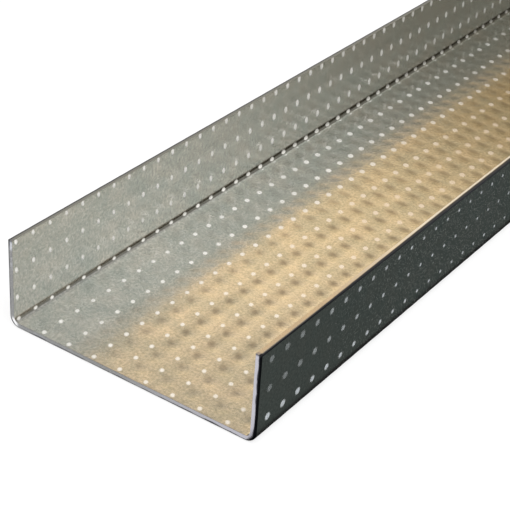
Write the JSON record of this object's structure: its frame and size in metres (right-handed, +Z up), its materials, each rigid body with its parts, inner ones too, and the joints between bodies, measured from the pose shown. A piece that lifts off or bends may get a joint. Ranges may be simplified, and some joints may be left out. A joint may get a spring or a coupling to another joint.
{
  "type": "ceiling primary channel",
  "caption": "Plain U channel of dimpled galvanised steel strip, with a wide web and short flanges, for hanging suspended ceilings.",
  "frame": {"origin": "middle of the length and width, on the surface that the web lies on", "axes": "+Y along the channel, away from the end the picture shows; +Z up, from the web towards the open side"},
  "size_m": [0.045, 3.6, 0.015],
  "materials": {
    "galvanised_steel": "galvanised, satin, rolled with small dimples"
  },
  "bodies": {
    "root": {"channel": "galvanised_steel"}
  },
  "joints": []
}
